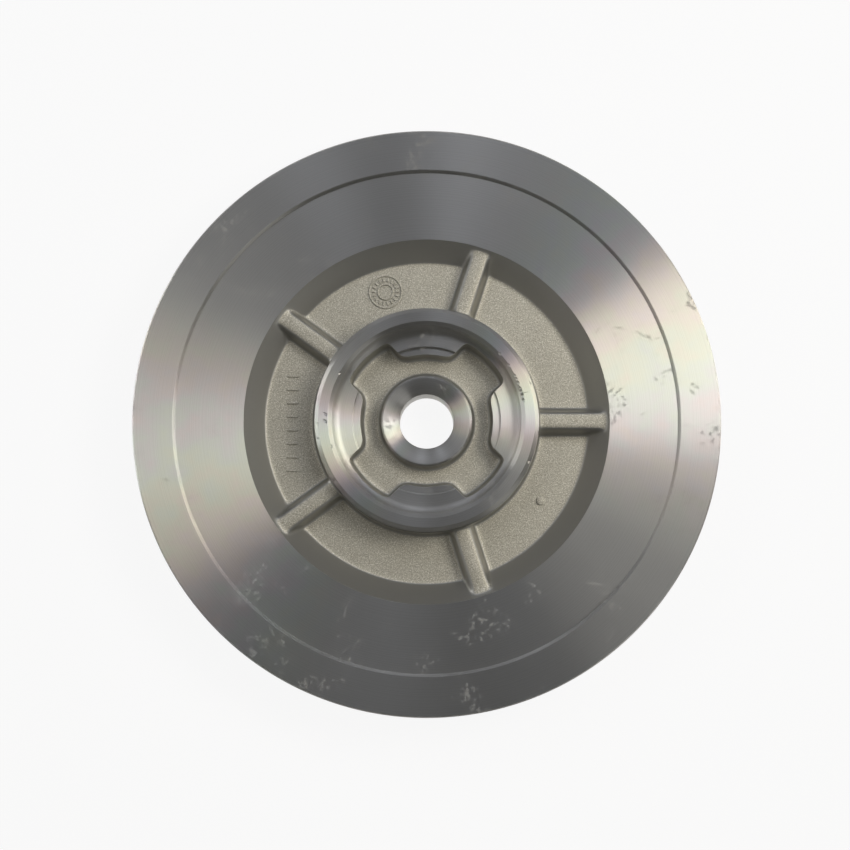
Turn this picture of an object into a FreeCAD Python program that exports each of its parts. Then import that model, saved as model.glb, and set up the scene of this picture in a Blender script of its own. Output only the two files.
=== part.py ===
import FreeCAD, Part
import math
import os

# Turbo seal plate: one aluminium casting, turned all over except in its ribbed recess and hub pocket.
# The origin is on the axis, on the compressor side's face. +Z points out of the ribbed side.

# Sizes in millimetres and degrees

# Rim, clamped between the bearing housing and the compressor cover
RIM_R = 88.0
RIM_THICKNESS = 8.0
RIM_CHAMFER = 0.4
SEAT_R = 75.4
SEAT_STEP = 1.0

# Compressor side: the register that enters the cover, its seal groove and the relief behind the wheel
REGISTER_R = 80.0
REGISTER_HEIGHT = 11.0
REGISTER_CHAMFER = 0.8
GROOVE_WIDTH = 3.6
GROOVE_DEPTH = 2.6
GROOVE_EDGE = 3.4
WHEEL_RELIEF_R = 54.0
WHEEL_RELIEF_DEPTH = 1.5

# Cast recess between the hub and the flange
RECESS_R = 54.8
RECESS_FLOOR_R = 48.7
RECESS_DEPTH = 6.5
CAST_FOOT = 1.2

# Five cast ribs across the recess
RIB_COUNT = 5
RIB_TOP_WIDTH = 5.2
RIB_BELOW_FLANGE = 0.9
RIB_DRAFT = 12.0
RIB_ROUND = 1.2

# Hub: a turned spigot on a cast wall, bored out to a ledge
SPIGOT_R = 33.3
SPIGOT_RISE = 5.0
SPIGOT_CHAMFER = 1.2
HUB_CAST_ALLOWANCE = 0.3
WALL_DRAFT = 4.0
CAVITY_R = 28.1
CAVITY_DEPTH = 4.4
CAVITY_CHAMFER = 1.2
CAVITY_CORNER = 2.6
LEDGE_STEP_R = 22.1
LEDGE_STEP = 0.8

# Four-lobed cast pocket, with a turned boss round the seal bore
LOBE_COUNT = 4
LOBE_R = 26.7
TONGUE_TIP_R = 20.4
TONGUE_TIP_HALF_ANGLE = 21.0
TONGUE_ROOT_HALF_ANGLE = 26.2
TONGUE_TIP_ROUND = 2.6
LOBE_CORNER_ROUND = 1.8
BOSS_R = 13.7
BOSS_BELOW_LEDGE = 1.8
BOSS_CHAMFER = 0.5
BORE_R = 8.2
BORE_MOUTH = 0.4
LEAD_IN_R = 12.7
LEAD_IN_DEPTH = 2.0
BORE_CHAMFER = 0.4

# How far a cutter runs past the face that it cuts
OVERCUT = 1.0

# Levels above the compressor face
rim_underside = REGISTER_HEIGHT
rim_face = rim_underside + RIM_THICKNESS
flange_face = rim_face - SEAT_STEP
floor = flange_face - RECESS_DEPTH
spigot_face = flange_face + SPIGOT_RISE
ledge = spigot_face - CAVITY_DEPTH
ledge_band = ledge - LEDGE_STEP
boss_top = ledge - BOSS_BELOW_LEDGE
rib_top = flange_face - RIB_BELOW_FLANGE

# Slopes of the drafted cast walls
wall_slope = math.tan(math.radians(WALL_DRAFT))
rib_slope = math.tan(math.radians(RIB_DRAFT))
recess_slope = (RECESS_R - RECESS_FLOOR_R) / RECESS_DEPTH


def turned(points):
    """A solid of revolution about Z from (radius, height) points in order."""
    corners = [FreeCAD.Vector(r, 0, z) for r, z in points]
    face = Part.Face(Part.makePolygon(corners + corners[:1]))
    return face.revolve(FreeCAD.Vector(0, 0, 0), FreeCAD.Vector(0, 0, 1), 360)


def ring_edges(shape, radius, height):
    """The circular edges about Z with this radius, at this height."""
    close = 0.001
    return [
        edge
        for edge in shape.Edges
        if isinstance(edge.Curve, Part.Circle)
        and abs(edge.Curve.Radius - radius) < close
        and abs(edge.Curve.Center.z - height) < close
        and math.hypot(edge.Curve.Center.x, edge.Curve.Center.y) < close
    ]


def hub_wall_r(z):
    """Radius of the hub's cast outer wall, which widens towards the floor."""
    return SPIGOT_R + HUB_CAST_ALLOWANCE + (flange_face - z) * wall_slope


def recess_wall_r(z):
    """Radius of the recess's sloping outer wall."""
    return RECESS_FLOOR_R + (z - floor) * recess_slope


def boss_wall_r(z):
    """Radius of the boss's cast wall, which widens towards the pocket floor."""
    return BOSS_R + (boss_top - z) * wall_slope


def top_radius(edge):
    """How far from the axis an edge's higher end is."""
    end = max(edge.Vertexes, key=lambda vertex: vertex.Z)
    return math.hypot(end.X, end.Y)


def lies_at(edge, height):
    """Whether an edge lies in the plane at this height."""
    close = 0.001
    box = edge.BoundBox
    return abs(box.ZMin - height) < close and abs(box.ZMax - height) < close


def long_edges(bar, half_width, height):
    """The two edges along a bar that lie at this height, this far to each side."""
    close = 0.001
    return [
        edge
        for edge in bar.Edges
        if lies_at(edge, height)
        and abs(abs(edge.BoundBox.YMin) - half_width) < close
        and abs(abs(edge.BoundBox.YMax) - half_width) < close
        and edge.BoundBox.YLength < close
    ]


def spigot_bevel(width):
    """A bevel on the spigot's rim, at most a third of its wall, so that a flat stays between the two."""
    return min(width, (SPIGOT_R - CAVITY_R) / 3)


def turned_blank():
    """The plate as turned, with the recess and the hub pocket still full."""
    blank = turned([
        (BORE_R, WHEEL_RELIEF_DEPTH),
        (WHEEL_RELIEF_R, WHEEL_RELIEF_DEPTH),
        (WHEEL_RELIEF_R, 0),
        (REGISTER_R, 0),
        (REGISTER_R, rim_underside),
        (RIM_R, rim_underside),
        (RIM_R, rim_face),
        (SEAT_R, rim_face),
        (SEAT_R, flange_face),
        (SPIGOT_R, flange_face),
        (SPIGOT_R, spigot_face),
        (CAVITY_R, spigot_face),
        (CAVITY_R, ledge),
        (LEDGE_STEP_R, ledge),
        (LEDGE_STEP_R, ledge_band),
        (BORE_R, ledge_band),
    ])
    blank = blank.makeFillet(CAVITY_CORNER, ring_edges(blank, CAVITY_R, ledge))
    blank = blank.makeChamfer(spigot_bevel(CAVITY_CHAMFER), ring_edges(blank, CAVITY_R, spigot_face))
    blank = blank.makeChamfer(spigot_bevel(SPIGOT_CHAMFER), ring_edges(blank, SPIGOT_R, spigot_face))
    blank = blank.makeChamfer(REGISTER_CHAMFER, ring_edges(blank, REGISTER_R, 0))
    blank = blank.makeChamfer(BORE_CHAMFER, ring_edges(blank, BORE_R, WHEEL_RELIEF_DEPTH))
    return blank.makeChamfer(RIM_CHAMFER, ring_edges(blank, RIM_R, rim_face))


def seal_groove():
    """The ring cut into the register for its seal."""
    inner = REGISTER_R - GROOVE_DEPTH
    outer = REGISTER_R + OVERCUT
    low = GROOVE_EDGE
    high = GROOVE_EDGE + GROOVE_WIDTH
    return turned([(inner, low), (outer, low), (outer, high), (inner, high)])


def rib(angle):
    """One straight rib with drafted sides and a rounded top, longer than the recess is wide."""
    low = floor - OVERCUT
    half_top = RIB_TOP_WIDTH / 2
    half_low = half_top + (rib_top - low) * rib_slope
    start = SPIGOT_R - OVERCUT
    section = [(-half_low, low), (half_low, low), (half_top, rib_top), (-half_top, rib_top)]
    corners = [FreeCAD.Vector(start, y, z) for y, z in section]
    face = Part.Face(Part.makePolygon(corners + corners[:1]))
    bar = face.extrude(FreeCAD.Vector(RECESS_R + OVERCUT - start, 0, 0))
    bar = bar.makeFillet(RIB_ROUND, long_edges(bar, half_top, rib_top))
    bar.rotate(FreeCAD.Vector(0, 0, 0), FreeCAD.Vector(0, 0, 1), angle)
    return bar


def recess_core():
    """The core that leaves the recess, its ribs and the bevelled corners round its floor."""
    top = flange_face + OVERCUT
    ring = turned([
        (hub_wall_r(floor), floor),
        (recess_wall_r(floor), floor),
        (recess_wall_r(top), top),
        (hub_wall_r(top), top),
    ])
    core = ring.cut([rib(360 / RIB_COUNT * i) for i in range(RIB_COUNT)])
    return core.makeChamfer(CAST_FOOT, [edge for edge in core.Edges if lies_at(edge, floor)])


def polar(radius, degrees, height):
    angle = math.radians(degrees)
    return FreeCAD.Vector(radius * math.cos(angle), radius * math.sin(angle), height)


def lobed_face(inset, height):
    """The pocket's outline: lobes at the diagonals, and tongues of the ledge between them."""
    lobe_r = LOBE_R - inset
    tip_r = TONGUE_TIP_R - inset
    pitch = 360 / LOBE_COUNT
    edges = []
    for i in range(LOBE_COUNT):
        middle = pitch * i
        tip_start = polar(tip_r, middle - TONGUE_TIP_HALF_ANGLE, height)
        tip_end = polar(tip_r, middle + TONGUE_TIP_HALF_ANGLE, height)
        lobe_start = polar(lobe_r, middle + TONGUE_ROOT_HALF_ANGLE, height)
        lobe_end = polar(lobe_r, middle + pitch - TONGUE_ROOT_HALF_ANGLE, height)
        next_tip = polar(tip_r, middle + pitch - TONGUE_TIP_HALF_ANGLE, height)
        edges.append(Part.Arc(tip_start, polar(tip_r, middle, height), tip_end).toShape())
        edges.append(Part.LineSegment(tip_end, lobe_start).toShape())
        edges.append(Part.Arc(lobe_start, polar(lobe_r, middle + pitch / 2, height), lobe_end).toShape())
        edges.append(Part.LineSegment(lobe_end, next_tip).toShape())
    return Part.Face(Part.Wire(edges))


def pocket_core():
    """The core that leaves the lobed pocket, its boss and the bevelled corners round its floor."""
    top = spigot_face
    draft = (top - floor) * wall_slope
    core = Part.makeLoft([lobed_face(draft, floor).OuterWire, lobed_face(0, top).OuterWire], True, True)
    upright = [edge for edge in core.Edges if edge.BoundBox.ZLength > RECESS_DEPTH]
    corners = [edge for edge in upright if top_radius(edge) > (TONGUE_TIP_R + LOBE_R) / 2]
    core = core.makeFillet(LOBE_CORNER_ROUND, corners)
    upright = [edge for edge in core.Edges if edge.BoundBox.ZLength > RECESS_DEPTH]
    tips = [edge for edge in upright if top_radius(edge) < (TONGUE_TIP_R + LOBE_R) / 2]
    core = core.makeFillet(TONGUE_TIP_ROUND, tips)
    boss = turned([(0, floor), (boss_wall_r(floor), floor), (BOSS_R, boss_top), (0, boss_top)])
    boss = boss.makeChamfer(BOSS_CHAMFER, ring_edges(boss, BOSS_R, boss_top))
    core = core.cut(boss)
    return core.makeChamfer(CAST_FOOT, [edge for edge in core.Edges if lies_at(edge, floor)])


def lead_in():
    """The cone that guides the seal ring into its bore, down to a steeper bevel at the bore's mouth."""
    foot = boss_top - LEAD_IN_DEPTH
    mouth = foot - BORE_MOUTH
    return turned([
        (0, mouth),
        (BORE_R, mouth),
        (BORE_R + BORE_MOUTH, foot),
        (LEAD_IN_R, boss_top),
        (0, boss_top),
    ])


def seal_plate():
    return turned_blank().cut([seal_groove(), recess_core(), pocket_core(), lead_in()])


os.makedirs("parts", exist_ok=True)
plate = seal_plate()
plate.exportStep("parts/seal_plate.step")
print("seal_plate", plate.isValid(), len(plate.Solids), round(plate.Volume), plate.BoundBox)
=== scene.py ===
# %% [markdown]
# # Turbo seal plate
# This lesson dresses one casting: the aluminium plate between a turbocharger's bearing housing and its
# compressor. It was cast in sand, then turned on a lathe, so it has two kinds of surface: sharp bright
# rings, and soft grey hollows. The plate is modelled the same way round: a turned blank first, then the
# sand's shapes are cut from it.

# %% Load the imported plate
import math
import random

import bmesh
import bpy
from mathutils import Matrix, Vector


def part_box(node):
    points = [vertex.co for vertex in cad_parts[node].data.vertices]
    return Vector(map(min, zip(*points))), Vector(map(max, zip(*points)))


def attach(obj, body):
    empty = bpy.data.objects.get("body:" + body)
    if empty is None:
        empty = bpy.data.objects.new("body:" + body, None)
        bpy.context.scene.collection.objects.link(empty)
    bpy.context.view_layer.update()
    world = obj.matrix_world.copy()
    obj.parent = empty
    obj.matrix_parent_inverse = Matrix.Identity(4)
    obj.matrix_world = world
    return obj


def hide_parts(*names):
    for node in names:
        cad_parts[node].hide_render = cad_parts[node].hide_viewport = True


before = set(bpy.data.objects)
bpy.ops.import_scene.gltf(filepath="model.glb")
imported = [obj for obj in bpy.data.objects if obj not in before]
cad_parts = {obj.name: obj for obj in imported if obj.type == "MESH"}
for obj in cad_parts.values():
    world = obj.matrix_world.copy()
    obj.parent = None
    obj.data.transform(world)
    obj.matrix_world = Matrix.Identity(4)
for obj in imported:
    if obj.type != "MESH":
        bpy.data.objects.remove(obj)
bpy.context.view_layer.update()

low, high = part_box("seal_plate")
bpy.context.scene.view_settings.view_transform = "Standard"
print("packed plate, metres:", [round(side, 4) for side in high - low])

# %% [markdown]
# ## The camera
# The plate is seen from almost straight above its ribbed side, half a metre away, as somebody would hold a
# phone over a bench. The small tilt towards the front makes the deep bore look off-centre, so it is worth
# getting right.

# %% The camera
MM = 0.001
PHOTO_SIZE = 850
FOCAL_PIXELS = 1673
CAMERA_DISTANCE = 500 * MM
CAMERA_TILT = 0.085
AIM_HEIGHT = 18.5 * MM
FRAME_OFFSET = Vector((-0.49, -1.40, 0)) * MM


def make_camera():
    data = bpy.data.cameras.new("camera")
    data.lens = data.sensor_width * FOCAL_PIXELS / PHOTO_SIZE
    camera = bpy.data.objects.new("camera", data)
    bpy.context.scene.collection.objects.link(camera)
    aim = Vector((0, 0, AIM_HEIGHT))
    back = Vector((0, -math.sin(CAMERA_TILT), math.cos(CAMERA_TILT)))
    camera.location = aim + back * CAMERA_DISTANCE + Vector((FRAME_OFFSET.x, 0, 0))
    sight = aim + FRAME_OFFSET - camera.location
    camera.rotation_euler = sight.to_track_quat("-Z", "Y").to_euler()
    bpy.context.scene.camera = camera
    return camera


print("lens, mm:", round(make_camera().data.lens, 1))

# %% [markdown]
# ## Colours and nodes
# Paint and metal colours are written as they look on a screen, and one function turns them to the linear
# values that the renderer adds up. One more function adds a node, sets it up and links it, so that a
# material reads as a list of what each step does. Three short ones stand for the steps that come again and
# again.

# %% Colours and nodes


def linear(hex_colour):
    """An sRGB hex colour as linear red, green, blue and alpha."""
    values = [int(hex_colour[i:i + 2], 16) / 255 for i in (1, 3, 5)]
    return [v / 12.92 if v <= 0.04045 else ((v + 0.055) / 1.055) ** 2.4 for v in values] + [1.0]


def node(tree, kind, inputs=None, **settings):
    """Adds a shader node. Each input takes a value, or another node's output."""
    made = tree.nodes.new("ShaderNode" + kind)
    for name, value in settings.items():
        setattr(made, name, value)
    for name, value in (inputs or {}).items():
        if isinstance(value, bpy.types.NodeSocket):
            tree.links.new(value, made.inputs[name])
        else:
            made.inputs[name].default_value = value
    return made


def new_material(name):
    """A material with an empty node tree, and that tree."""
    material = bpy.data.materials.new(name)
    material.use_nodes = True
    material.node_tree.nodes.clear()
    return material, material.node_tree


def ramp(tree, factor, stops):
    """A colour ramp with (place, hex colour) stops."""
    made = node(tree, "ValToRGB", {"Fac": factor})
    elements = made.color_ramp.elements
    while len(elements) < len(stops):
        elements.new(0.5)
    for element, (place, colour) in zip(elements, stops):
        element.position = place
        element.color = linear(colour)
    return made


def calc(tree, operation, *values):
    """One step of arithmetic on numbers or other nodes' outputs."""
    return node(tree, "Math", dict(enumerate(values)), operation=operation).outputs[0]


def fade(tree, value, start, full):
    """A share that goes softly from 0 at one value to 1 at another."""
    return node(
        tree, "MapRange", {"Value": value, "From Min": start, "From Max": full},
        interpolation_type="SMOOTHSTEP",
    ).outputs[0]


def between(tree, share, at_none, at_full):
    """A number that goes evenly from one to another as a share goes from 0 to 1."""
    return node(tree, "MapRange", {"Value": share, "To Min": at_none, "To Max": at_full}).outputs[0]


print("aluminium grey, linear:", [round(v, 3) for v in linear("#B9B7B2")])

# %% [markdown]
# ## Floor and light
# The plate lies on a plain white table. Bare metal has almost no colour of its own: it shows the room. The
# room is dim and even, with one strong soft light at the right, a weaker one at the left and a few faint
# ones, so turned faces get the two bright fans that any lathe-turned disc shows. Two low lamps do the work
# of white cards beside the plate, for steep bevels to catch.

# %% Floor and light
FLOOR_SIZE = 6.0
FLOOR_GLOW = 0.9
LIGHT_DISTANCE = 0.6
ROOM_COLOUR = "#484847"


def make_floor():
    shape = bmesh.new()
    bmesh.ops.create_grid(shape, x_segments=1, y_segments=1, size=FLOOR_SIZE / 2)
    mesh = bpy.data.meshes.new("floor")
    shape.to_mesh(mesh)
    shape.free()
    floor = bpy.data.objects.new("floor", mesh)
    bpy.context.scene.collection.objects.link(floor)
    material, tree = new_material("white_table")
    diffuse = node(tree, "BsdfDiffuse", {"Color": linear("#F4F4F4")})
    glow = node(tree, "Emission", {"Color": linear("#FFFFFF"), "Strength": 1.0})
    path = node(tree, "LightPath")
    seen = calc(tree, "ADD", path.outputs["Is Camera Ray"], path.outputs["Is Glossy Ray"])
    seen = calc(tree, "ADD", seen, path.outputs["Is Transmission Ray"])
    share = calc(tree, "MULTIPLY", seen, FLOOR_GLOW)
    mixed = node(tree, "MixShader", {0: share, 1: diffuse.outputs[0], 2: glow.outputs[0]})
    node(tree, "OutputMaterial", {"Surface": mixed.outputs[0]})
    mesh.materials.append(material)


def make_world():
    """An even, dim grey room."""
    world = bpy.data.worlds.new("room")
    world.use_nodes = True
    tree = world.node_tree
    tree.nodes.clear()
    room = node(tree, "Background", {"Color": linear(ROOM_COLOUR), "Strength": 1.0})
    node(tree, "OutputWorld", {"Surface": room.outputs[0]})
    bpy.context.scene.world = world


def soft_light(name, azimuth, elevation, width, height, radiance, colour):
    """A soft rectangular light that faces the plate. Azimuth is counted from +X, as on the plate."""
    data = bpy.data.lights.new(name, "AREA")
    data.shape = "RECTANGLE"
    data.size = width
    data.size_y = height
    data.energy = radiance * math.pi * width * height
    data.color = linear(colour)[:3]
    lamp = bpy.data.objects.new(name, data)
    bpy.context.scene.collection.objects.link(lamp)
    a, e = math.radians(azimuth), math.radians(elevation)
    away = Vector((math.cos(a) * math.cos(e), math.sin(a) * math.cos(e), math.sin(e)))
    lamp.location = away * LIGHT_DISTANCE
    lamp.rotation_euler = (-away).to_track_quat("-Z", "Y").to_euler()


make_floor()
make_world()
soft_light("right_light", 20, 50, 0.26, 0.20, 7.0, "#FFFAF0")
soft_light("left_light", 170, 50, 0.25, 0.22, 1.4, "#FFFAF2")
soft_light("low_left_light", 198, 37, 0.20, 0.15, 1.4, "#FFFCF6")
soft_light("back_left_light", 130, 44, 0.38, 0.20, 0.9, "#ECF1FF")
soft_light("back_light", 98, 46, 0.30, 0.20, 0.95, "#ECF1FF")
soft_light("back_right_light", 66, 52, 0.30, 0.20, 1.3, "#ECF1FF")
soft_light("high_light", 12, 70, 0.25, 0.18, 1.8, "#FFFFFF")
soft_light("front_right_light", -42, 34, 0.20, 0.20, 1.1, "#FFFFFF")
soft_light("left_card", 168, 5, 0.48, 0.10, 7.0, "#FFFFFF")
soft_light("right_card", 14, 5, 0.34, 0.10, 5.0, "#FFF6E8")

# %% [markdown]
# ## Sizes
# The scene repeats the plate's own sizes, because it can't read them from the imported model. Radii are from
# the axis and levels are above the compressor side's face. Edge breaks are what a turner does to every
# sharp corner with the tip of the tool, and they matter here: each one catches the light as a fine line.

# %% Sizes
RIM_R = 88.0 * MM
SEAT_R = 75.4 * MM
REGISTER_R = 80.0 * MM
GROOVE_FLOOR_R = 77.4 * MM
WHEEL_RELIEF_R = 54.0 * MM
RECESS_R = 54.8 * MM
RECESS_FLOOR_R = 48.7 * MM
SPIGOT_R = 33.3 * MM
CAVITY_R = 28.1 * MM
LEDGE_STEP_R = 22.1 * MM
LOBE_R = 26.7 * MM
TONGUE_TIP_R = 20.4 * MM
BOSS_R = 13.7 * MM
LEAD_IN_R = 12.7 * MM
BORE_R = 8.2 * MM

RELIEF_LEVEL = 1.5 * MM
GROOVE_LOW = 3.4 * MM
GROOVE_HIGH = 7.0 * MM
RIM_UNDERSIDE = 11.0 * MM
RIM_FACE = 19.0 * MM
FLANGE_FACE = 18.0 * MM
CAST_FLOOR = 11.5 * MM
RIB_TOP = 17.1 * MM
SPIGOT_FACE = 23.0 * MM
LEDGE = 18.6 * MM
LEDGE_BAND = 17.8 * MM
BOSS_TOP = 16.8 * MM
LEAD_IN_FOOT = 14.8 * MM

EDGE_BREAK = 0.15 * MM
STEP_BREAK = 0.6 * MM
RIM_CHAMFER = 0.4 * MM
SPIGOT_CHAMFER = 1.2 * MM
REGISTER_CHAMFER = 0.8 * MM
CAVITY_CHAMFER = 1.2 * MM
CAVITY_CORNER = 2.6 * MM
BOSS_CHAMFER = 0.5 * MM
BORE_CHAMFER = 0.4 * MM
BORE_MOUTH = 0.4 * MM
WALL_SLOPE = math.tan(math.radians(4))
RIB_SLOPE = math.tan(math.radians(12))
OVERCUT = 3.0 * MM
print("rim across, mm:", round(2 * RIM_R / MM, 1), "and packed:", round((high.x - low.x) / MM, 1))

# %% [markdown]
# ## Helpers for meshes
# A modelled piece is kept as a plain mesh at the origin, with its place in its vertices. Modifiers such as
# Boolean and Remesh do heavy work in one step, and are applied at once.

# %% Helpers for meshes
TURNED, CAST = 0, 1
MERGE_DISTANCE = 0.001 * MM
RELAX_SHARE = 0.5


def as_object(shape, name, material_index):
    """Turns a bmesh into an object whose faces point outwards and all have one material slot."""
    bmesh.ops.remove_doubles(shape, verts=shape.verts, dist=MERGE_DISTANCE)
    bmesh.ops.recalc_face_normals(shape, faces=shape.faces)
    for face in shape.faces:
        face.material_index = material_index
        face.smooth = True
    mesh = bpy.data.meshes.new(name)
    shape.to_mesh(mesh)
    shape.free()
    made = bpy.data.objects.new(name, mesh)
    bpy.context.scene.collection.objects.link(made)
    for slot_name in ("turned", "cast"):
        mesh.materials.append(bpy.data.materials.get(slot_name) or bpy.data.materials.new(slot_name))
    return made


def apply_modifiers(piece):
    """Gives a piece the mesh that its modifiers make, and removes them."""
    graph = bpy.context.evaluated_depsgraph_get()
    finished = bpy.data.meshes.new_from_object(piece.evaluated_get(graph))
    piece.modifiers.clear()
    piece.data = finished


def combine(piece, tool, operation):
    """Cuts a tool from a piece or joins it on, and removes the tool."""
    step = piece.modifiers.new("combine", "BOOLEAN")
    step.operation = operation
    step.solver = "MANIFOLD"
    step.object = tool
    apply_modifiers(piece)
    bpy.data.objects.remove(tool)


def merged(pieces, name, material_index):
    """Puts several closed meshes in one object, so that they are cut or joined in one step."""
    shape = bmesh.new()
    for piece in pieces:
        shape.from_mesh(piece.data)
        bpy.data.objects.remove(piece)
    return as_object(shape, name, material_index)


def verts_of(grown):
    """The vertices among what an extrusion made."""
    return [part for part in grown if isinstance(part, bmesh.types.BMVert)]


def triangles(piece):
    return sum(len(face.vertices) - 2 for face in piece.data.polygons)


# %% [markdown]
# ## The turned blank
# On the real plate every bright ring is turned, round one axis. So the blank is one half section, drawn as
# its corners and spun. Corners are bevelled while they are still flat in the section, which is simpler than
# a bevel on a spun ring of hundreds of faces.

# %% The turned blank
TURNED_STEPS = 288
BOSS_FACING_R = 17.0 * MM
boss_chamfer_foot = BOSS_TOP - (BOSS_FACING_R - (BOSS_R - BOSS_CHAMFER))


def spun(corners, bevels, name, material_index, steps=TURNED_STEPS):
    """Spins a half section. Corners are (radius, height), and bevels are (size, segments, corner numbers)."""
    shape = bmesh.new()
    ring = [shape.verts.new((radius, 0, height)) for radius, height in corners]
    shape.faces.new(ring)
    for size, segments, numbers in bevels:
        bmesh.ops.bevel(
            shape, geom=[ring[i] for i in numbers], offset=size, offset_type="OFFSET", affect="VERTICES",
            segments=segments, profile=0.5, material=-1,
        )
    bmesh.ops.delete(shape, geom=shape.faces[:], context="FACES_ONLY")
    bmesh.ops.spin(
        shape, geom=shape.verts[:] + shape.edges[:], cent=(0, 0, 0), axis=(0, 0, 1), angle=2 * math.pi,
        steps=steps, use_merge=True, use_duplicate=False,
    )
    return as_object(shape, name, material_index)


BLANK_CORNERS = [
    (BORE_R, RELIEF_LEVEL),
    (WHEEL_RELIEF_R, RELIEF_LEVEL),
    (WHEEL_RELIEF_R, 0),
    (REGISTER_R, 0),
    (REGISTER_R, GROOVE_LOW),
    (GROOVE_FLOOR_R, GROOVE_LOW),
    (GROOVE_FLOOR_R, GROOVE_HIGH),
    (REGISTER_R, GROOVE_HIGH),
    (REGISTER_R, RIM_UNDERSIDE),
    (RIM_R, RIM_UNDERSIDE),
    (RIM_R, RIM_FACE),
    (SEAT_R, RIM_FACE),
    (SEAT_R, FLANGE_FACE),
    (SPIGOT_R, FLANGE_FACE),
    (SPIGOT_R, SPIGOT_FACE),
    (CAVITY_R, SPIGOT_FACE),
    (CAVITY_R, LEDGE),
    (LEDGE_STEP_R, LEDGE),
    (LEDGE_STEP_R, LEDGE_BAND),
    (BOSS_FACING_R, LEDGE_BAND),
    (BOSS_FACING_R, boss_chamfer_foot),
    (BOSS_R - BOSS_CHAMFER, BOSS_TOP),
    (LEAD_IN_R, BOSS_TOP),
    (BORE_R + BORE_MOUTH, LEAD_IN_FOOT),
    (BORE_R, LEAD_IN_FOOT - BORE_MOUTH),
]
BLANK_BEVELS = [
    (CAVITY_CORNER, 8, [16]),
    (CAVITY_CHAMFER, 1, [15]),
    (SPIGOT_CHAMFER, 1, [14]),
    (REGISTER_CHAMFER, 1, [3]),
    (BORE_CHAMFER, 1, [0]),
    (RIM_CHAMFER, 1, [10]),
    (STEP_BREAK, 1, [11]),
    (EDGE_BREAK, 1, [1, 2, 4, 7, 9, 12, 17, 18]),
]
plate = spun(BLANK_CORNERS, BLANK_BEVELS, "finished_plate", TURNED)
print("blank:", triangles(plate), "triangles")

# %% [markdown]
# ## The sand core of the recess
# The hollow round the hub, with its five ribs, was left by sand. Sand can't hold a sharp corner, so every
# foot and edge there is softly rounded. A ring is spun, five drafted bars are cut from it where the ribs
# stand, and the rest is remeshed in small cubes and relaxed, which rounds every corner at once, as sand
# does. Only the foot of the outer wall is kept crisper.

# %% The sand core of the recess
RIB_COUNT = 5
RIB_TOP_WIDTH = 5.2 * MM
HUB_CAST_ALLOWANCE = 0.3 * MM
VOXEL = 0.45 * MM
RELAX_ROUNDS = 16
CRISP_ROUNDS = 6
FOOT_REACH = 2 * MM
core_top = FLANGE_FACE + OVERCUT


def hub_wall_r(z):
    return SPIGOT_R + HUB_CAST_ALLOWANCE + (FLANGE_FACE - z) * WALL_SLOPE


def recess_wall_r(z):
    return RECESS_FLOOR_R + (z - CAST_FLOOR) * (RECESS_R - RECESS_FLOOR_R) / (FLANGE_FACE - CAST_FLOOR)


def rib_bar(number):
    """One rib as a drafted bar that runs through both walls of the ring."""
    base = CAST_FLOOR - OVERCUT
    half_top = RIB_TOP_WIDTH / 2
    half_base = half_top + (RIB_TOP - base) * RIB_SLOPE
    start, end = SPIGOT_R - OVERCUT, RECESS_R + 2 * OVERCUT
    shape = bmesh.new()
    section = [(-half_base, base), (half_base, base), (half_top, RIB_TOP), (-half_top, RIB_TOP)]
    face = shape.faces.new([shape.verts.new((start, y, z)) for y, z in section])
    grown = bmesh.ops.extrude_face_region(shape, geom=[face])["geom"]
    bmesh.ops.translate(shape, verts=verts_of(grown), vec=(end - start, 0, 0))
    turn = Matrix.Rotation(2 * math.pi * number / RIB_COUNT, 4, "Z")
    bmesh.ops.transform(shape, matrix=turn, verts=shape.verts)
    return as_object(shape, "rib", CAST)


def as_sand(core, voxel, rounds, crisp=None):
    """Rounds a core's corners as sand would. A point that crisp picks out stays nearly sharp."""
    remesh = core.modifiers.new("remesh", "REMESH")
    remesh.mode = "VOXEL"
    remesh.voxel_size = voxel
    apply_modifiers(core)
    shape = bmesh.new()
    shape.from_mesh(core.data)
    soft = [vert for vert in shape.verts if not (crisp and crisp(vert.co))]
    for i in range(rounds):
        verts = shape.verts if i < CRISP_ROUNDS else soft
        bmesh.ops.smooth_vert(
            shape, verts=verts, factor=RELAX_SHARE, use_axis_x=True, use_axis_y=True, use_axis_z=True,
        )
    for face in shape.faces:
        face.material_index = CAST
        face.smooth = True
    shape.to_mesh(core.data)
    shape.free()


def wall_foot(point):
    """Whether a point is near the foot of the recess's outer wall, clear of the ribs."""
    inside = point.xy.length < RECESS_FLOOR_R - FOOT_REACH
    above = point.z > CAST_FLOOR + FOOT_REACH
    if inside or above:
        return False
    pitch = 2 * math.pi / RIB_COUNT
    angle = math.atan2(point.y, point.x)
    aside = abs(angle - pitch * round(angle / pitch)) * RECESS_FLOOR_R
    return aside > RIB_TOP_WIDTH


recess_core = spun(
    [
        (hub_wall_r(CAST_FLOOR), CAST_FLOOR),
        (recess_wall_r(CAST_FLOOR), CAST_FLOOR),
        (recess_wall_r(core_top), core_top),
        (hub_wall_r(core_top), core_top),
    ],
    [], "recess_core", CAST,
)
for number in range(RIB_COUNT):
    combine(recess_core, rib_bar(number), "DIFFERENCE")
as_sand(recess_core, VOXEL, RELAX_ROUNDS, wall_foot)
print("recess core:", triangles(recess_core), "triangles")

# %% [markdown]
# ## The sand core of the pocket
# Inside the hub a second core left a pocket of four lobes, with four tongues of the ledge between them and
# the boss standing in the middle. Its outline is arcs joined by short straight flanks, one quarter after
# another. It is drawn out downwards with the little draft that lets a sand core leave its box.

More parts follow.
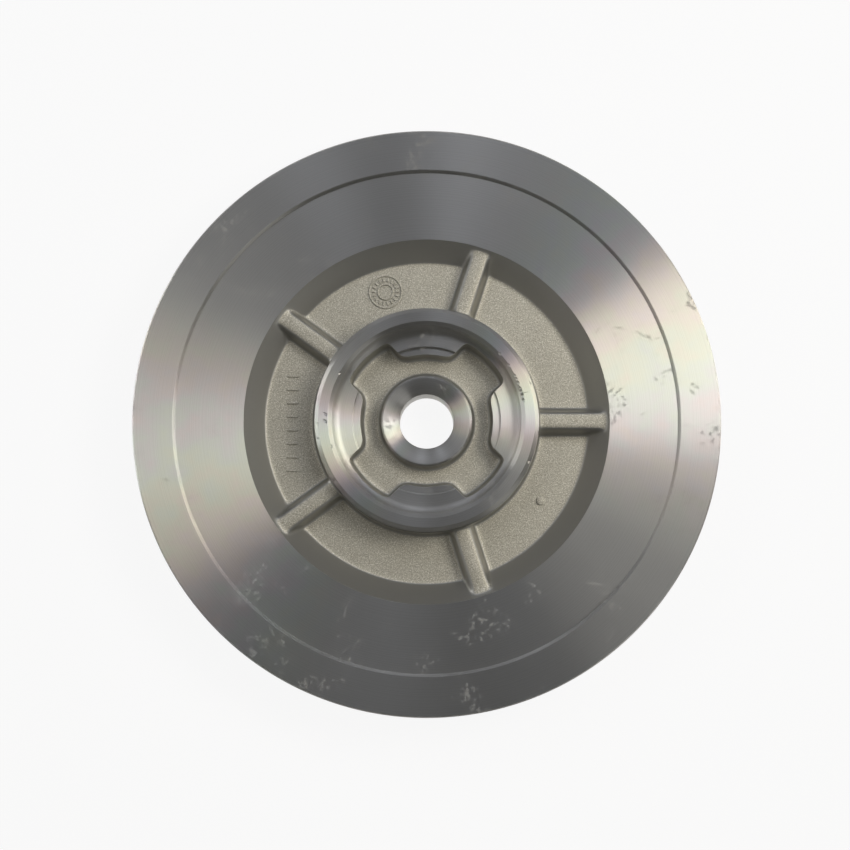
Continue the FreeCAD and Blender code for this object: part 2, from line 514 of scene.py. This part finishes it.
# %% The sand core of the pocket
LOBE_COUNT = 4
TIP_HALF_ANGLE = 21.0
ROOT_HALF_ANGLE = 26.2
OUTLINE_STEP = 0.35 * MM
TIP_RELAX_ROUNDS = 30
LOBE_RELAX_ROUNDS = 4
POCKET_VOXEL = 0.4 * MM
POCKET_RELAX_ROUNDS = 44


def around(radius, degrees):
    return Vector((radius * math.cos(math.radians(degrees)), radius * math.sin(math.radians(degrees)), 0))


def path_points(length, place):
    """Even points along a stretch of the outline, without its end. Place turns a share into a point."""
    count = round(length / OUTLINE_STEP)
    return [place(i / count) for i in range(count)]


def lobed_outline():
    """The pocket's outline: tongue tips and lobes as arcs, joined by straight flanks."""
    points = []
    pitch = 360 / LOBE_COUNT
    tip_width = 2 * TIP_HALF_ANGLE
    lobe_width = pitch - 2 * ROOT_HALF_ANGLE
    for i in range(LOBE_COUNT):
        tip_start = pitch * i - TIP_HALF_ANGLE
        lobe_start = pitch * i + ROOT_HALF_ANGLE
        corners = [
            around(TONGUE_TIP_R, tip_start + tip_width), around(LOBE_R, lobe_start),
            around(LOBE_R, lobe_start + lobe_width), around(TONGUE_TIP_R, tip_start + pitch),
        ]
        flank = (corners[1] - corners[0]).length
        points += path_points(
            TONGUE_TIP_R * math.radians(tip_width),
            lambda share: around(TONGUE_TIP_R, tip_start + tip_width * share),
        )
        points += path_points(flank, lambda share: corners[0].lerp(corners[1], share))
        points += path_points(
            LOBE_R * math.radians(lobe_width),
            lambda share: around(LOBE_R, lobe_start + lobe_width * share),
        )
        points += path_points(flank, lambda share: corners[2].lerp(corners[3], share))
    return points


def make_pocket_core():
    shape = bmesh.new()
    mouth = Vector((0, 0, SPIGOT_FACE + OVERCUT))
    face = shape.faces.new([shape.verts.new(point + mouth) for point in lobed_outline()])
    near_tips = [vert for vert in shape.verts if vert.co.xy.length < (TONGUE_TIP_R + LOBE_R) / 2]
    for i in range(TIP_RELAX_ROUNDS):
        verts = shape.verts if i < LOBE_RELAX_ROUNDS else near_tips
        bmesh.ops.smooth_vert(shape, verts=verts, factor=RELAX_SHARE, use_axis_x=True, use_axis_y=True)
    grown = bmesh.ops.extrude_face_region(shape, geom=[face])["geom"]
    bottom = verts_of(grown)
    depth = SPIGOT_FACE + OVERCUT - CAST_FLOOR
    bmesh.ops.translate(shape, verts=bottom, vec=(0, 0, -depth))
    shrink = 1 - depth * WALL_SLOPE / LOBE_R
    bmesh.ops.scale(shape, verts=bottom, vec=(shrink, shrink, 1))
    core = as_object(shape, "pocket_core", CAST)
    cone_top = SPIGOT_FACE + 2 * OVERCUT
    cone_foot = CAST_FLOOR - OVERCUT
    boss = bmesh.new()
    bmesh.ops.create_cone(
        boss, cap_ends=True, segments=TURNED_STEPS,
        radius1=BOSS_R + (BOSS_TOP - cone_foot) * WALL_SLOPE,
        radius2=BOSS_R + (BOSS_TOP - cone_top) * WALL_SLOPE,
        depth=cone_top - cone_foot, matrix=Matrix.Translation((0, 0, (cone_top + cone_foot) / 2)),
    )
    combine(core, as_object(boss, "boss", CAST), "DIFFERENCE")
    as_sand(core, POCKET_VOXEL, POCKET_RELAX_ROUNDS)
    return core


pocket_core = make_pocket_core()
print("pocket core:", triangles(pocket_core), "triangles")

# %% [markdown]
# ## Cast and turned together
# Both cores are cut from the blank. The edge between bright and grey metal then lies where a core meets a
# turned face, as on the real plate.

# %% Cut the cores from the blank
combine(plate, recess_core, "DIFFERENCE")
combine(plate, pocket_core, "DIFFERENCE")
print("cast and turned:", triangles(plate), "triangles")

# %% [markdown]
# ## Marks from the pattern
# A foundry puts small raised marks on its patterns, to tell one mould from another. These are plain ones
# that say nothing: a dial of ticks, a row of bars and a pip. Each is sunk a little into the floor and
# joined to it, so that it is one casting with the plate.

# %% Marks from the pattern
MARK_RISE = 0.45 * MM
MARK_SINK = 0.6 * MM
MARK_WIDTH = 0.55 * MM
MARK_EDGE = 0.12 * MM
MARK_STEPS = 48
DIAL_PLACE = Vector((-12.5, 39.9, 0)) * MM
DIAL_R = 5.2 * MM
DIAL_INNER_R = 2.6 * MM
DIAL_TICKS = 18
DIAL_TICK_LENGTH = 1.1 * MM
ROW_X = -40.6 * MM
ROW_TOP = 14.0 * MM
ROW_PITCH = 4.1 * MM
ROW_COUNT = 8
ROW_BAR_LENGTH = 3.4 * MM
PIP_PLACE = Vector((34.4, -23.8, 0)) * MM
PIP_R = 1.3 * MM
mark_low, mark_high = CAST_FLOOR - MARK_SINK, CAST_FLOOR + MARK_RISE


def raised_bar(place, length, turn):
    """A short low bar on the cast floor, turned by an angle about its middle."""
    shape = bmesh.new()
    bmesh.ops.create_cube(shape, size=1)
    bmesh.ops.scale(shape, verts=shape.verts, vec=(length, MARK_WIDTH, mark_high - mark_low))
    bmesh.ops.bevel(
        shape, geom=shape.edges[:], offset=MARK_EDGE, segments=2, profile=0.5, affect="EDGES", material=-1,
    )
    bmesh.ops.rotate(shape, verts=shape.verts, matrix=Matrix.Rotation(turn, 3, "Z"))
    bmesh.ops.translate(shape, verts=shape.verts, vec=place + Vector((0, 0, (mark_low + mark_high) / 2)))
    return as_object(shape, "bar", CAST)


def raised_ring(place, inner, outer):
    """A low ring on the cast floor, or a pip where there is no inner radius."""
    corners = [(inner, mark_low), (outer, mark_low), (outer, mark_high), (inner, mark_high)]
    ring = spun(corners, [(MARK_EDGE, 2, [2, 3] if inner else [2])], "ring", CAST, MARK_STEPS)
    ring.data.transform(Matrix.Translation(place))
    return ring


marks = [
    raised_ring(DIAL_PLACE, DIAL_R - MARK_WIDTH, DIAL_R),
    raised_ring(DIAL_PLACE, DIAL_INNER_R - MARK_WIDTH, DIAL_INNER_R),
    raised_ring(PIP_PLACE, 0, PIP_R),
]
for i in range(DIAL_TICKS):
    turn = 2 * math.pi * i / DIAL_TICKS
    middle = Matrix.Rotation(turn, 3, "Z") @ Vector(((DIAL_R + DIAL_INNER_R - MARK_WIDTH) / 2, 0, 0))
    marks.append(raised_bar(DIAL_PLACE + middle, DIAL_TICK_LENGTH, turn))
for i in range(ROW_COUNT):
    marks.append(raised_bar(Vector((ROW_X, ROW_TOP - ROW_PITCH * i, 0)), ROW_BAR_LENGTH, 0))
print("marks:", len(marks))
combine(plate, merged(marks, "marks", CAST), "UNION")

# %% [markdown]
# ## Knocks from handling
# The spigot stands out, so it takes the knocks. Chips along its inner edge, two gouges beside it and flats
# on its outer chamfer are cut by small balls, stretched where a mark is long. Real wear sits where edges
# meet other parts.

# %% Knocks from handling
CHIP_R = 1.0 * MM
CHIP_COUNT = 7
CHIP_FIRST = 11
CHIP_LAST = 29
CHIP_JITTER = 0.2
CHIP_SMALLEST = 0.8
CHIP_LARGEST = 1.15
CHIP_INSET = 0.45
CHIP_LIFT = 0.55
LONE_CHIPS = [41.8, 33.5, 152, 196]
GOUGES = [177.2, 181.2]
GOUGE_RADII = Vector((0.85, 0.4, 0.35)) * MM
GOUGE_TURN = math.radians(-40)
GOUGE_LIFT = GOUGE_RADII.z / 3
GOUGE_FROM_EDGE = 0.75 * MM
FLATS = [(170, 8), (183, 3.4), (190.5, 1.2), (214, 2), (338, 3), (20, 2.4)]
FLAT_DEPTH = 0.16 * MM
FLAT_ACROSS = 1.1 * SPIGOT_CHAMFER
SHARP_FROM = math.radians(30)
face_edge_r = CAVITY_R + CAVITY_CHAMFER
dice = random.Random(5)


def ball(place, radii, turn):
    """A ball stretched to three radii, turned about Z and put in its place."""
    shape = bmesh.new()
    bmesh.ops.create_icosphere(shape, subdivisions=2, radius=1)
    bmesh.ops.scale(shape, verts=shape.verts, vec=radii)
    bmesh.ops.rotate(shape, verts=shape.verts, matrix=Matrix.Rotation(turn, 3, "Z"))
    bmesh.ops.translate(shape, verts=shape.verts, vec=place)
    return as_object(shape, "ball", TURNED)


def chip(degrees):
    """A chip out of the spigot's inner edge."""
    size = CHIP_R * dice.uniform(CHIP_SMALLEST, CHIP_LARGEST)
    place = Matrix.Rotation(math.radians(degrees), 3, "Z") @ Vector((face_edge_r - CHIP_INSET * size, 0, 0))
    return ball(place + Vector((0, 0, SPIGOT_FACE + CHIP_LIFT * size)), Vector((size, size, size)), 0)


def gouge(degrees):
    """A slanting gouge in the spigot's face, just outside its inner edge."""
    place = Matrix.Rotation(math.radians(degrees), 3, "Z") @ Vector((face_edge_r + GOUGE_FROM_EDGE, 0, 0))
    return ball(place + Vector((0, 0, SPIGOT_FACE + GOUGE_LIFT)), GOUGE_RADII, GOUGE_TURN)


def flat(degrees, length):
    """A worn flat along the spigot's outer chamfer."""
    half_chamfer = SPIGOT_CHAMFER / 2
    out = (FLAT_ACROSS - FLAT_DEPTH) / math.sqrt(2)
    middle = Vector((SPIGOT_R - half_chamfer + out, 0, SPIGOT_FACE - half_chamfer + out))
    turn = math.radians(degrees)
    radii = Vector((length * MM / 2 + FLAT_ACROSS / 2, FLAT_ACROSS, FLAT_ACROSS))
    return ball(Matrix.Rotation(turn, 3, "Z") @ middle, radii, turn + math.pi / 2)


knocks = []
for i in range(CHIP_COUNT):
    share = (i + dice.uniform(-CHIP_JITTER, CHIP_JITTER)) / CHIP_COUNT
    knocks.append(chip(CHIP_FIRST + (CHIP_LAST - CHIP_FIRST) * share))
knocks += [chip(angle) for angle in LONE_CHIPS]
knocks += [gouge(angle) for angle in GOUGES]
knocks += [flat(angle, length) for angle, length in FLATS]
print("knocks:", len(knocks))
combine(plate, merged(knocks, "knocks", TURNED), "DIFFERENCE")
plate.data.set_sharp_from_angle(angle=SHARP_FROM)
print("plate:", triangles(plate), "triangles")

# %% [markdown]
# ## Scratches and a rainbow
# Two patterns for the turned faces come first. Scratches are noise drawn out in one direction. The rainbow
# is the faint tint that finely ruled lines spread round a lamp. It is painted on near the two bright fans,
# so it turns with the plate.

# %% Scratches and a rainbow
SCRATCH_WIDTH = 0.12 * MM
SCRATCH_LENGTH = 9 * MM
SCRATCH_FROM = 0.76
SCRATCH_FULL = 0.82
RAINBOW_SPREAD = math.radians(45)
RAINBOW_MIDDLE = math.radians(20)
RAINBOW_START = -2.48
FAN_FROM = 0.6
FAN_FULL = 0.95
FLANGE_RAINBOW = 0.035
HUB_RAINBOW = 0.055
FLANGE_WANDER = 7.0
HUB_WANDER = 0.8
SPIGOT_HALF_BAND = 1.5 * MM
spigot_middle_r = (SPIGOT_R + CAVITY_R) / 2


def around_axis(tree, place):
    """The distance from the Z axis and the angle about it, as two outputs."""
    parts = node(tree, "SeparateXYZ", {0: place})
    flat_place = node(tree, "CombineXYZ", {"X": parts.outputs["X"], "Y": parts.outputs["Y"]})
    radius = node(tree, "VectorMath", {0: flat_place.outputs[0]}, operation="LENGTH")
    return radius.outputs["Value"], calc(tree, "ARCTAN2", parts.outputs["Y"], parts.outputs["X"])


def scratches(tree, place, turn):
    """Fine straight scratches in one direction, 1 on a scratch and 0 beside it."""
    turned = node(tree, "VectorRotate", {"Vector": place, "Angle": turn}, rotation_type="Z_AXIS")
    stretch = (1 / SCRATCH_LENGTH, 1 / SCRATCH_WIDTH, 1 / SCRATCH_LENGTH)
    lie = node(tree, "Mapping", {"Vector": turned.outputs[0], "Scale": stretch})
    streaks = node(tree, "TexNoise", {"Vector": lie.outputs[0], "Scale": 1.0, "Detail": 0.0})
    return fade(tree, streaks.outputs["Fac"], SCRATCH_FROM, SCRATCH_FULL)


def rainbow(tree, radius, angle, cloud):
    """A painted rainbow sheen: a faint tint that runs through the colours in the two bright fans, more so on
    the spigot's face.
    """
    on_face = calc(tree, "COMPARE", radius, spigot_middle_r, SPIGOT_HALF_BAND)
    toward_lamp = calc(tree, "COSINE", calc(tree, "SUBTRACT", angle, RAINBOW_MIDDLE))
    near = fade(tree, calc(tree, "ABSOLUTE", toward_lamp), FAN_FROM, FAN_FULL)
    most = between(tree, on_face, FLANGE_RAINBOW, HUB_RAINBOW)
    strength = calc(tree, "MULTIPLY", most, near)
    rest = calc(tree, "SUBTRACT", 1.0, strength)
    wander = between(tree, on_face, FLANGE_WANDER, HUB_WANDER)
    centred = calc(tree, "SUBTRACT", cloud, 0.5)
    shift = calc(tree, "MULTIPLY_ADD", centred, wander, RAINBOW_START)
    phase = calc(tree, "MULTIPLY_ADD", angle, 2 * math.pi / RAINBOW_SPREAD, shift)
    channels = []
    for third in range(3):
        wave = calc(tree, "SINE", calc(tree, "ADD", phase, third * 2 * math.pi / 3))
        channels.append(calc(tree, "MULTIPLY_ADD", wave, strength, rest))
    return node(tree, "CombineColor", dict(zip(("Red", "Green", "Blue"), channels))).outputs[0]


print("degrees from one red to the next:", round(math.degrees(RAINBOW_SPREAD)))

# %% [markdown]
# ## Turned aluminium
# A lathe tool leaves fine rings, too fine to see one by one. They smear a reflection across the rings and
# keep it sharp along them, which is what anisotropy means here. The tangent runs round the Z axis, so the
# two fans of light stay where the lamps are, while the plate can turn under them. On top come the things
# that keep metal from looking like plastic: slightly uneven rings, hand smudges, fine scratches, softly
# broken edges and the rainbow.

# %% Turned aluminium
RING_PITCH = 0.25 * MM
RING_DEPTH = 0.001 * MM
SMOOTHEST = 0.36
ROUGHEST = 0.40
WAVE_SIZE = 9 * MM
WAVE_DEPTH = 0.02 * MM
SMUDGE_SIZE = 11 * MM
SMUDGE_FROM = 0.52
SMUDGE_FULL = 0.66
SMUDGE_ROUGHENING = 0.2
SMUDGE_FILM = 0.4
FLECK_SIZE = 1.3 * MM
FLECK_FROM = 0.48
FLECK_FULL = 0.68
SCRATCH_TURNS = (0.5, 1.9)
SCRATCH_DEPTH = 0.0015 * MM
BROKEN_EDGE = 0.2 * MM
EDGE_SAMPLES = 4


def turned_aluminium():
    material, tree = new_material("turned_aluminium")
    place = node(tree, "TexCoord").outputs["Object"]
    radius, angle = around_axis(tree, place)
    tangent = node(tree, "Tangent", direction_type="RADIAL", axis="Z")
    rings = node(
        tree, "TexNoise", {"W": radius, "Scale": 1 / RING_PITCH, "Detail": 2.0}, noise_dimensions="1D",
    ).outputs["Fac"]
    waves = node(tree, "TexNoise", {"Vector": place, "Scale": 1 / WAVE_SIZE, "Detail": 3.0}).outputs["Fac"]
    clouds = node(
        tree, "TexNoise",
        {"Vector": place, "Scale": 1 / SMUDGE_SIZE, "Detail": 5.0, "Roughness": 0.62, "Distortion": 0.6},
    )
    specks = node(tree, "TexNoise", {"Vector": place, "Scale": 1 / FLECK_SIZE, "Detail": 3.0})
    patch = fade(tree, clouds.outputs["Fac"], SMUDGE_FROM, SMUDGE_FULL)
    fleck = fade(tree, specks.outputs["Fac"], FLECK_FROM, FLECK_FULL)
    smudged = calc(tree, "MULTIPLY", patch, fleck)
    marked = calc(tree, "MAXIMUM", *[scratches(tree, place, turn) for turn in SCRATCH_TURNS])
    metal_colour = ramp(tree, rings, [(0.3, "#C6C4BE"), (0.7, "#CFCDC8")])
    tinted = node(
        tree, "VectorMath", {0: metal_colour.outputs["Color"], 1: rainbow(tree, radius, angle, waves)},
        operation="MULTIPLY",
    )
    finish = between(tree, rings, SMOOTHEST, ROUGHEST)
    rough = calc(tree, "MULTIPLY_ADD", smudged, SMUDGE_ROUGHENING, finish)
    bare = calc(tree, "MULTIPLY_ADD", smudged, -SMUDGE_FILM, 1.0)
    soft_edge = node(tree, "Bevel", {"Radius": BROKEN_EDGE}, samples=EDGE_SAMPLES)
    wavy = node(tree, "Bump", {"Height": waves, "Distance": WAVE_DEPTH, "Normal": soft_edge.outputs[0]})
    ringed = node(tree, "Bump", {"Height": rings, "Distance": RING_DEPTH, "Normal": wavy.outputs[0]})
    scratched = node(
        tree, "Bump", {"Height": marked, "Distance": SCRATCH_DEPTH, "Normal": ringed.outputs[0]}, invert=True,
    )
    metal = node(
        tree, "BsdfPrincipled",
        {
            "Base Color": tinted.outputs[0], "Metallic": bare, "Roughness": rough,
            "Anisotropic": 0.98, "Anisotropic Rotation": 0.25, "Tangent": tangent.outputs[0],
            "Normal": scratched.outputs[0],
        },
    )
    node(tree, "OutputMaterial", {"Surface": metal.outputs[0]})
    return material


plate.data.materials[TURNED] = turned_aluminium()
print("turned faces:", sum(face.material_index == TURNED for face in plate.data.polygons))

# %% [markdown]
# ## Cast aluminium
# The sand printed its grains on the floors and rib tops, which a camera sees as a fine sparkle. On the
# drafted walls the pattern slid out of the sand and rubbed them smooth. One material shows both: how steep
# the surface is says how much of the grain is left. Steep faces, and the feet of walls and ribs, also get a
# darker grey. That grey is partly their smoother finish and partly painted shade.

# %% Cast aluminium
GRAIN_SIZE = 0.34 * MM
GRAIN_DEPTH = 0.052 * MM
PATCH_SIZE = 6 * MM
DARKEST_PATCH = 0.92
LIGHTEST_PATCH = 1.06
STEEP_FROM = 0.97
STEEP_TO = 0.84
SAND_ROUGHNESS = 0.62
WALL_ROUGHNESS = 0.45


def cast_aluminium():
    material, tree = new_material("cast_aluminium")
    coordinates = node(tree, "TexCoord")
    place = coordinates.outputs["Object"]
    facing = node(tree, "SeparateXYZ", {0: coordinates.outputs["Normal"]})
    steep = fade(tree, facing.outputs["Z"], STEEP_FROM, STEEP_TO)
    sandy = calc(tree, "SUBTRACT", 1.0, steep)
    grain = node(
        tree, "TexNoise", {"Vector": place, "Scale": 1 / GRAIN_SIZE, "Detail": 2.0, "Roughness": 0.6},
    ).outputs["Fac"]
    patches = node(tree, "TexNoise", {"Vector": place, "Scale": 1 / PATCH_SIZE, "Detail": 3.0})
    sand = ramp(tree, grain, [(0.34, "#ADA899"), (0.54, "#CDC9BB"), (0.72, "#F0EDE4")])
    tone = between(tree, patches.outputs["Fac"], DARKEST_PATCH, LIGHTEST_PATCH)
    toned = node(tree, "VectorMath", {0: sand.outputs["Color"], "Scale": tone}, operation="SCALE")
    # Steep faces and the feet of walls and ribs turn a darker grey: partly a smoother finish, partly painted
    # shade.
    # In a colour mix, sockets 6 and 7 are the two colours and output 2 is the result.
    colour = node(
        tree, "Mix", {"Factor": steep, 6: toned.outputs[0], 7: linear("#ACABA6")}, data_type="RGBA",
    )
    rough = between(tree, steep, SAND_ROUGHNESS, WALL_ROUGHNESS)
    bump = node(tree, "Bump", {"Height": grain, "Strength": sandy, "Distance": GRAIN_DEPTH})
    metal = node(
        tree, "BsdfPrincipled",
        {
            "Base Color": colour.outputs[2], "Metallic": 0.85, "Roughness": rough,
            "Normal": bump.outputs[0],
        },
    )
    node(tree, "OutputMaterial", {"Surface": metal.outputs[0]})
    return material


plate.data.materials[CAST] = cast_aluminium()
print("cast faces:", sum(face.material_index == CAST for face in plate.data.polygons))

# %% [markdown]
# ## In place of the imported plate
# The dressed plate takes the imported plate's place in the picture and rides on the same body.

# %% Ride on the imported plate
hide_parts("seal_plate")
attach(plate, "root")
